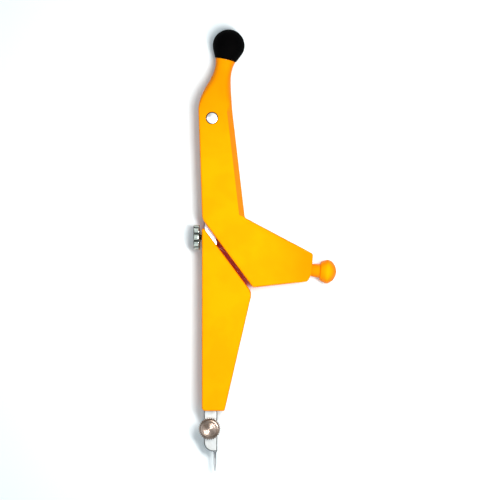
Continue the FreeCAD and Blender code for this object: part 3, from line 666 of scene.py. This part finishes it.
def section(corners):
    """Section of a turned piece through corners (radius, height, rounding)."""
    spots = np.array([corner[:2] for corner in corners])
    runs = [spots[:1]]
    for index in range(1, len(corners) - 1):
        rounding = corners[index][2]
        if rounding:
            before, corner, after = spots[index - 1 : index + 2]
            runs.append(rounded_corner(before, corner, after, rounding))
        else:
            runs.append(spots[index : index + 1])
    runs.append(spots[-1:])
    return np.concatenate(runs)


def tangent_angle(start, centre, radius):
    """Angle on a circle where a line from start, on the outer side, touches it."""
    away = np.subtract(start, centre)
    return math.atan2(away[1], away[0]) + math.acos(radius / np.linalg.norm(away))


def turned(profile, columns, rim=None):
    """Surface of revolution on a grid of (profile point, angle), radius and height per cell.
    rim(angle, radius, height) may change the radius, as a knurl or a thread does."""
    angle = np.linspace(0.0, 2 * math.pi, columns, endpoint=False)[None, :]
    radius = np.repeat(profile[:, :1], columns, axis=1)
    height = np.repeat(profile[:, 1:], columns, axis=1)
    if rim is not None:
        radius = rim(angle, radius, height)
    return np.stack([radius * np.cos(angle), radius * np.sin(angle), height], axis=2)


def placed(grid, origin, axis):
    """Grid about its own z axis, turned so that this axis runs along a direction from an origin."""
    third = np.array(axis)
    first = unit(np.cross(third, (0.0, 0.0, 1.0) if abs(third[2]) < 0.9 else (1.0, 0.0, 0.0)))
    second = np.cross(third, first)
    return np.array(origin) + grid @ np.stack([first, second, third])


def surface(name, grid, solid_ring=False):
    """Mesh object from a grid of rings, each joined round. In a solid ring the last row joins the
    first one; otherwise both end rows are closed with a fan to their middle point."""
    rows, columns = grid.shape[:2]
    points = grid.reshape(-1, 3)
    index = np.arange(rows * columns).reshape(rows, columns)
    if solid_ring:
        low, high = index, np.roll(index, -1, axis=0)
        faces = []
    else:
        low, high = index[:-1], index[1:]
        poles = np.stack([grid[0].mean(axis=0), grid[-1].mean(axis=0)])
        points = np.concatenate([points, poles])
        start, end = rows * columns, rows * columns + 1
        first = np.stack([np.full(columns, start), np.roll(index[0], -1), index[0]], axis=1)
        last = np.stack([index[-1], np.roll(index[-1], -1), np.full(columns, end)], axis=1)
        faces = first.tolist() + last.tolist()
    quads = np.stack(
        [low, np.roll(low, -1, axis=1), np.roll(high, -1, axis=1), high], axis=2
    ).reshape(-1, 4)
    mesh = bpy.data.meshes.new(name)
    mesh.from_pydata(points.tolist(), [], faces + quads.tolist())
    mesh.polygons.foreach_set("use_smooth", np.ones(len(mesh.polygons), bool))
    corners = points[quads]
    outward = np.cross(corners[:, 2] - corners[:, 0], corners[:, 3] - corners[:, 1])
    volume = (outward * corners.mean(axis=1)).sum()
    if volume < 0:  # the faces point inwards
        mesh.flip_normals()
    mesh.update()
    piece = bpy.data.objects.new(name, mesh)
    bpy.context.scene.collection.objects.link(piece)
    return piece


def dress(scene, piece, body, slot, node, finish=None):
    """Gives a piece the finish of its slot, unless another is named, hangs it on its body and hides
    the CAD node that it stands for."""
    piece.data.materials.append(finish_for(scene, finish or slot))
    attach(piece, body)
    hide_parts(node)


def finish_nodes(scene, names):
    """Gives carried-over CAD nodes the finish of their slot, and the pivot screw its own."""
    slots = {part["node"]: part["material_slot"] for part in frame["record"]["subparts"]}
    slots["pivot_screw"] = "satin nickel"
    for name in names:
        materials = frame["nodes"][name].data.materials
        materials.clear()
        materials.append(finish_for(scene, slots[name]))


# Pieces

LARGE_COLUMNS = 128
SMALL_COLUMNS = 64
CELLS_PER_LOBE = 32
CELLS_PER_TOOTH = 10
ROWS_PER_TURN = 12
BORE_ROUNDING = 0.1 * MM


def press_ball(scene, sizes):
    """Ball on the neck. Its section runs up the bore, out along the seat, up a straight flank
    tangent to the ball, and round the ball's circle to the pole."""
    bore_end = sizes.seat_height + sizes.bore_depth
    seat = (sizes.seat_radius, sizes.seat_height)
    middle = (0.0, sizes.middle)
    touch = tangent_angle(seat, middle, sizes.radius)
    ball = arc(middle, sizes.radius, touch, math.pi / 2, steps=64)
    corners = [
        (sizes.bore_radius / 2, bore_end, 0.0),
        (sizes.bore_radius, bore_end, 0.0),
        (sizes.bore_radius, sizes.seat_height, BORE_ROUNDING),
        (*seat, sizes.seat_rounding),
        (*ball[0], 0.0),
    ]
    profile = np.concatenate([section(corners), ball[1:-1]])
    shape = turned(profile, LARGE_COLUMNS)
    grid = placed(shape, joint_place("press_ball_spin"), joint_axis("press_ball_spin"))
    dress(scene, surface("press_ball", grid), "press_ball", "black_plastic", "press_knob")


def side_knob(scene, sizes):
    """Mushroom knob. Its section runs up the bore, along the neck, out over the flat back,
    up a straight flank tangent to the rounded rim, and over the domed end."""
    ring = sizes.radius - sizes.rim_radius
    spread = sizes.tip - sizes.widest - sizes.rim_radius
    dome = sizes.rim_radius + (ring**2 + spread**2) / (2 * spread)
    dome_middle = sizes.tip - dome
    meeting = math.atan2(sizes.widest - dome_middle, ring)
    back = (sizes.back_radius, sizes.neck_length)
    touch = tangent_angle(back, (ring, sizes.widest), sizes.rim_radius)
    rim = arc((ring, sizes.widest), sizes.rim_radius, touch, meeting, steps=28)
    cap = arc((0.0, dome_middle), dome, meeting, math.pi / 2, steps=24)
    bore_end = sizes.neck_foot + sizes.bore_depth
    corners = [
        (sizes.bore_radius / 2, bore_end, 0.0),
        (sizes.bore_radius, bore_end, 0.0),
        (sizes.bore_radius, sizes.neck_foot, BORE_ROUNDING),
        (sizes.neck_radius, sizes.neck_foot, 0.2 * MM),
        (sizes.neck_top_radius, sizes.neck_length, 0.3 * MM),
        (*back, sizes.back_rounding),
        (*rim[0], 0.0),
    ]
    profile = np.concatenate([section(corners), rim[1:], cap[1:-1]])
    shape = turned(profile, LARGE_COLUMNS)
    grid = placed(shape, joint_place("hand_knob_spin"), joint_axis("hand_knob_spin"))
    dress(scene, surface("hand_knob", grid), "hand_knob", "yellow_plastic", "side_knob")


def knurl(inner, outer, depth, teeth, narrowness=0.7, turn=0.0):
    """Rim change for straight grooves: the radius falls by depth times a wave of the angle raised
    to the narrowness, in full at the outer radius and less towards the inner one. Turn moves the
    grooves round, as an angle within one tooth."""

    def change(angle, radius, height):
        wave = 0.5 - 0.5 * np.cos(teeth * angle + turn)
        share = np.clip((radius - inner) / (outer - inner), 0.0, 1.0)
        return radius - depth * share * wave**narrowness

    return change


def steps_between(start, end, count):
    """Points of a section evenly spaced from start towards end, without the end."""
    share = np.linspace(0.0, 1.0, count, endpoint=False)[:, None]
    return np.array(start) + share * (np.array(end) - np.array(start))


def thumb_wheel(scene, sizes):
    """Lobed wheel: a closed section round the bore, dished on the outer face. Narrow grooves
    part the lobes, and one lobe faces the front."""
    low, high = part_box("adjuster_wheel")
    outer = (high.z - low.z) / 2
    thickness = high.x - low.x
    shoulder = outer - sizes.bevel
    groove_foot = shoulder - 0.3 * MM
    rim_start = shoulder - 0.06 * MM
    far_edge = thickness - sizes.bevel
    faces = section(
        [
            (groove_foot, thickness, 0.0),
            (sizes.bore_radius, thickness, 0.08 * MM),
            (sizes.bore_radius, sizes.dish_depth, 0.06 * MM),
            (sizes.dish_radius, sizes.dish_depth, 0.10 * MM),
            (sizes.dish_radius, 0.0, 0.08 * MM),
            (groove_foot, 0.0, 0.0),
        ]
    )
    rim = np.concatenate(
        [
            steps_between((rim_start, 0.0), (outer, sizes.bevel), 8),
            steps_between((outer, sizes.bevel), (outer, far_edge), 6),
            steps_between((outer, far_edge), (rim_start, thickness), 8),
            [(rim_start, thickness)],
        ]
    )
    profile = np.concatenate([faces, rim])
    grooves = knurl(groove_foot, outer, sizes.groove_depth, sizes.lobes, narrowness=4.0, turn=math.pi)
    wheel = turned(profile, sizes.lobes * CELLS_PER_LOBE, grooves)
    origin = joint_place("adjuster_spin")
    origin.x = low.x
    grid = placed(wheel, origin, joint_axis("adjuster_spin"))
    piece = surface("thumb_wheel", grid, solid_ring=True)
    dress(scene, piece, "adjuster", "nickel", "adjuster_wheel")


def adjusting_screw(scene, sizes):
    """Threaded screw of the wheel: the radius falls from the crest by the thread's depth times
    a wave of (height / pitch - angle / one turn), which fades in and out over one pitch. The thin
    end is plain."""
    low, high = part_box("adjuster_screw")
    crest = (high.z - low.z) / 2
    whole = high.x - low.x
    thick = whole - sizes.journal_length
    bevel = 0.1 * MM
    rows = int(thick / sizes.pitch * ROWS_PER_TURN)
    shank = steps_between((crest, bevel), (crest, thick), rows)
    profile = np.concatenate(
        [
            [(crest / 2, 0.0), (crest - bevel, 0.0)],
            shank,
            section(
                [
                    (crest, thick, 0.0),
                    (sizes.journal_radius, thick, 0.05 * MM),
                    (sizes.journal_radius, whole, 0.1 * MM),
                    (sizes.journal_radius / 2, whole, 0.0),
                ]
            ),
        ]
    )

    def thread(angle, radius, height):
        turns = height / sizes.pitch
        wave = 0.5 + 0.5 * np.cos(2 * math.pi * turns - angle)
        fade = np.clip(turns, 0.0, 1.0) * np.clip(thick / sizes.pitch - turns, 0.0, 1.0)
        on_crest = radius > crest - 0.01 * MM
        return radius - sizes.thread_depth * fade * wave * on_crest

    origin = joint_place("adjuster_spin")
    origin.x = low.x
    grid = placed(turned(profile, SMALL_COLUMNS, thread), origin, joint_axis("adjuster_spin"))
    dress(scene, surface("adjusting_screw", grid), "adjuster", "nickel", "adjuster_screw")


def clamp_screw(scene, sizes):
    """Knurled screw: plain shank, toothed head and a hollow face with fine turning rings,
    whose height is a wave of the radius."""
    low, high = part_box("clamp_screw")
    outer = (high.x - low.x) / 2
    top = high.z - low.z
    seat = top - sizes.head_height
    shoulder = outer - sizes.bevel
    lower_edge = seat + sizes.bevel_height
    upper_edge = top - sizes.bevel_height
    dish_floor = top - sizes.dish_depth
    margin = 0.3 * MM
    under = section(
        [
            (sizes.shank_radius / 2, 0.0, 0.0),
            (sizes.shank_radius, 0.0, 0.12 * MM),
            (sizes.shank_radius, seat, 0.05 * MM),
            (shoulder - margin, seat, 0.0),
        ]
    )
    rim = np.concatenate(
        [
            steps_between((shoulder, seat), (outer, lower_edge), 6),
            steps_between((outer, lower_edge), (outer, upper_edge), 8),
            steps_between((outer, upper_edge), (shoulder, top), 8),
        ]
    )
    lip = section(
        [
            (shoulder, top, 0.0),
            (sizes.dish_radius, top, 0.08 * MM),
            (sizes.dish_radius, dish_floor, 0.08 * MM),
            (sizes.dish_radius - margin, dish_floor, 0.0),
        ]
    )
    face_radius = np.linspace(sizes.dish_radius - margin, 0.05 * MM, 130)[1:]
    wave = np.sin(2 * math.pi * face_radius / sizes.ring_pitch)
    face = np.stack([face_radius, dish_floor + sizes.ring_relief * wave], axis=1)
    profile = np.concatenate([under, rim, lip, face])
    teeth = knurl(shoulder, outer, sizes.tooth_depth, sizes.teeth)
    head = turned(profile, sizes.teeth * CELLS_PER_TOOTH, teeth)
    origin = joint_place("clamp_spin")
    origin.z = low.z
    grid = placed(head, origin, joint_axis("clamp_spin"))
    dress(scene, surface("clamp_screw_head", grid), "clamp", "bronze", "clamp_screw")


def needle(scene, sizes):
    """Needle: thick shank, thinner free end, straight taper and a small round point."""
    low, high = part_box("needle")
    shank = (high.x - low.x) / 2
    whole = high.y - low.y
    step = 0.06 * MM
    profile = section(
        [
            (shank / 2, 0.0, 0.0),
            (shank, 0.0, 0.12 * MM),
            (shank, sizes.shank_length, step),
            (sizes.radius, sizes.shank_length + step, 0.0),
            (sizes.radius, whole - sizes.taper, 0.8 * MM),
            (sizes.tip_radius, whole, 0.03 * MM),
            (sizes.tip_radius / 4, whole, 0.0),
        ]
    )
    origin = Vector(((low.x + high.x) / 2, high.y, (low.z + high.z) / 2))
    grid = placed(turned(profile, SMALL_COLUMNS), origin, (0.0, -1.0, 0.0))
    piece = surface("needle_point", grid)
    dress(scene, piece, "needle_point", "steel", "needle", finish="needle steel")


# Operators

class PieceOperator:
    """Common part of the operators."""

    bl_options = {"REGISTER", "UNDO"}


class COMPASS_OT_press_ball(PieceOperator, bpy.types.Operator):
    """Make the black ball on the neck"""

    bl_idname = "compass.press_ball"
    bl_label = "Press ball"

    def execute(self, context):
        press_ball(context.scene, context.scene.compass_ball)
        return {"FINISHED"}


class COMPASS_OT_side_knob(PieceOperator, bpy.types.Operator):
    """Make the mushroom knob on the arm"""

    bl_idname = "compass.side_knob"
    bl_label = "Side knob"

    def execute(self, context):
        side_knob(context.scene, context.scene.compass_knob)
        return {"FINISHED"}


class COMPASS_OT_adjuster(PieceOperator, bpy.types.Operator):
    """Make the thumb wheel and its screw"""

    bl_idname = "compass.adjuster"
    bl_label = "Thumb wheel and screw"

    def execute(self, context):
        thumb_wheel(context.scene, context.scene.compass_wheel)
        adjusting_screw(context.scene, context.scene.compass_wheel)
        return {"FINISHED"}


class COMPASS_OT_clamp_screw(PieceOperator, bpy.types.Operator):
    """Make the knurled clamp screw"""

    bl_idname = "compass.clamp_screw"
    bl_label = "Clamp screw"

    def execute(self, context):
        clamp_screw(context.scene, context.scene.compass_clamp)
        return {"FINISHED"}


class COMPASS_OT_needle(PieceOperator, bpy.types.Operator):
    """Make the needle"""

    bl_idname = "compass.needle"
    bl_label = "Needle"

    def execute(self, context):
        needle(context.scene, context.scene.compass_needle)
        return {"FINISHED"}


class COMPASS_OT_mouldings(PieceOperator, bpy.types.Operator):
    """Finish the halves of the handle and of the leg cover"""

    bl_idname = "compass.mouldings"
    bl_label = "Mouldings"

    def execute(self, context):
        names = ("handle_front", "handle_back", "leg_cover_front", "leg_cover_back")
        finish_nodes(context.scene, names)
        return {"FINISHED"}


class COMPASS_OT_metalwork(PieceOperator, bpy.types.Operator):
    """Finish the leg bar, screws, pins, bushes and washers"""

    bl_idname = "compass.metalwork"
    bl_label = "Metalwork"

    def execute(self, context):
        metal = ("steel", "nickel", "bronze", "brass")
        parts = frame["record"]["subparts"]
        names = [part["node"] for part in parts if part["material_slot"] in metal]
        finish_nodes(context.scene, names)
        return {"FINISHED"}


class COMPASS_OT_stage(PieceOperator, bpy.types.Operator):
    """Make the floor, the lights and the camera"""

    bl_idname = "compass.stage"
    bl_label = "Stage"

    def execute(self, context):
        make_stage(context.scene, context.scene.compass_stage)
        return {"FINISHED"}


# Stage

FLOOR_REACH = 3.0
FLOOR_HEIGHT = -0.01 * MM
LAMP_TINT = (1.0, 0.99, 0.97)
ROOM_TINT = (0.86, 0.94, 1.0, 1.0)
SENSOR_WIDTH = 36.0
NEAREST_SEEN = 0.01


def flat_floor(material):
    """Large square just under the leg."""
    ends = (-FLOOR_REACH, FLOOR_REACH)
    corners = [(x, y, FLOOR_HEIGHT) for x in ends for y in ends]
    mesh = bpy.data.meshes.new("floor")
    mesh.from_pydata(corners, [], [(0, 2, 3, 1)])
    mesh.materials.append(material)
    floor = bpy.data.objects.new("floor", mesh)
    bpy.context.scene.collection.objects.link(floor)


def lamp(middle, settings):
    """Oval lamp over the leg that shines towards a middle, with its length along the slit."""
    data = bpy.data.lights.new("key_lamp", "AREA")
    data.shape = "ELLIPSE"
    data.size = settings.key_length
    data.size_y = settings.key_width
    data.energy = settings.key_power
    data.color = LAMP_TINT
    away = Vector((settings.key_right, settings.key_up, settings.key_height))
    back = away.normalized()
    side = back.cross(SLIT_RUN).normalized()
    made = bpy.data.objects.new("key_lamp", data)
    made.location = middle + away
    made.rotation_euler = Matrix((side.cross(back), side, back)).transposed().to_euler()
    bpy.context.scene.collection.objects.link(made)


def room(settings):
    """Room around the leg: dim walls, a low panel at both ends of the leg, and two soft boxes
    overhead that meet over it. Away from there they leave a dark gap, which runs along the slit."""
    finish = Finish(bpy.data.worlds.new("room"))
    direction = finish.add("ShaderNodeTexCoord", output="Generated")
    boxes = finish.smooth(finish.part(direction, "Z"), 0.50, 0.80, settings.walls, 1.0)
    panels = finish.smooth(abs(finish.part(direction, "Y")), 0.78, 0.90, 0.0, settings.ends)
    along = abs(finish.dot(direction, tuple(SLIT_RUN)))
    across = abs(finish.dot(direction, tuple(SLIT_ACROSS)))
    gap = finish.fade(across, 0.06, 0.14) * finish.smooth(along, 0.10, 0.20)
    strength = settings.fill * (boxes + panels) * (1.0 - 0.95 * gap)
    light = finish.add("ShaderNodeBackground", {}, {"Color": ROOM_TINT, "Strength": strength})
    finish.add("ShaderNodeOutputWorld", {}, {"Surface": light}, None)
    return finish.owner


def make_stage(scene, settings):
    """Pale floor under the leg, the oval lamp and the room's light over it, and the camera above."""
    middle = PIVOT + Vector((settings.right, -settings.below, 0.0))
    flat_floor(paper_floor(scene.compass_colours))
    lamp(middle, settings)
    scene.world = room(settings)
    data = bpy.data.cameras.new("camera")
    data.lens = settings.lens
    data.sensor_width = SENSOR_WIDTH
    data.clip_start = NEAREST_SEEN
    camera = bpy.data.objects.new("camera", data)
    camera.location = middle + Vector((0.0, 0.0, settings.camera_height))
    scene.collection.objects.link(camera)
    scene.camera = camera
    scene.view_settings.view_transform = "Standard"


class COMPASS_PT_panel(bpy.types.Panel):
    """Compass leg's pieces and sizes"""

    bl_idname = "COMPASS_PT_panel"
    bl_label = "Compass leg"
    bl_space_type = "VIEW_3D"
    bl_region_type = "UI"
    bl_category = "Compass leg"

    def draw(self, context):
        for operator in OPERATORS:
            self.layout.operator(operator.bl_idname)
        for name in GROUPS:
            box = self.layout.box()
            settings = getattr(context.scene, name)
            for key in settings.bl_rna.properties.keys():
                if key not in ("rna_type", "name"):
                    box.prop(settings, key)


OPERATORS = (
    COMPASS_OT_press_ball,
    COMPASS_OT_side_knob,
    COMPASS_OT_adjuster,
    COMPASS_OT_clamp_screw,
    COMPASS_OT_needle,
    COMPASS_OT_mouldings,
    COMPASS_OT_metalwork,
    COMPASS_OT_stage,
)
GROUPS = {
    "compass_ball": PressBallSizes,
    "compass_knob": SideKnobSizes,
    "compass_wheel": ThumbWheelSizes,
    "compass_clamp": ClampScrewSizes,
    "compass_needle": NeedleSizes,
    "compass_colours": FinishColours,
    "compass_stage": StageSettings,
}


def register():
    """Registers every class and hangs the settings on the scene."""
    for kind in (*GROUPS.values(), *OPERATORS, COMPASS_PT_panel):
        bpy.utils.register_class(kind)
    for name, kind in GROUPS.items():
        setattr(bpy.types.Scene, name, bpy.props.PointerProperty(type=kind))


def unregister():
    """Takes the settings and the classes away again."""
    for name in GROUPS:
        delattr(bpy.types.Scene, name)
    for kind in (COMPASS_PT_panel, *reversed(OPERATORS), *reversed(list(GROUPS.values()))):
        bpy.utils.unregister_class(kind)


def clear_default_objects():
    """Removes what Blender's own start-up scene holds."""
    for thing in list(bpy.context.scene.objects):
        if thing.name in ("Cube", "Light", "Camera"):
            bpy.data.objects.remove(thing)


def main():
    """Registers the add-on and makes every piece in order."""
    register()
    clear_default_objects()
    bpy.ops.compass.press_ball()
    bpy.ops.compass.side_knob()
    bpy.ops.compass.adjuster()
    bpy.ops.compass.clamp_screw()
    bpy.ops.compass.needle()
    bpy.ops.compass.mouldings()
    bpy.ops.compass.metalwork()
    bpy.ops.compass.stage()
    bpy.context.view_layer.update()


if __name__ == "__main__":
    main()
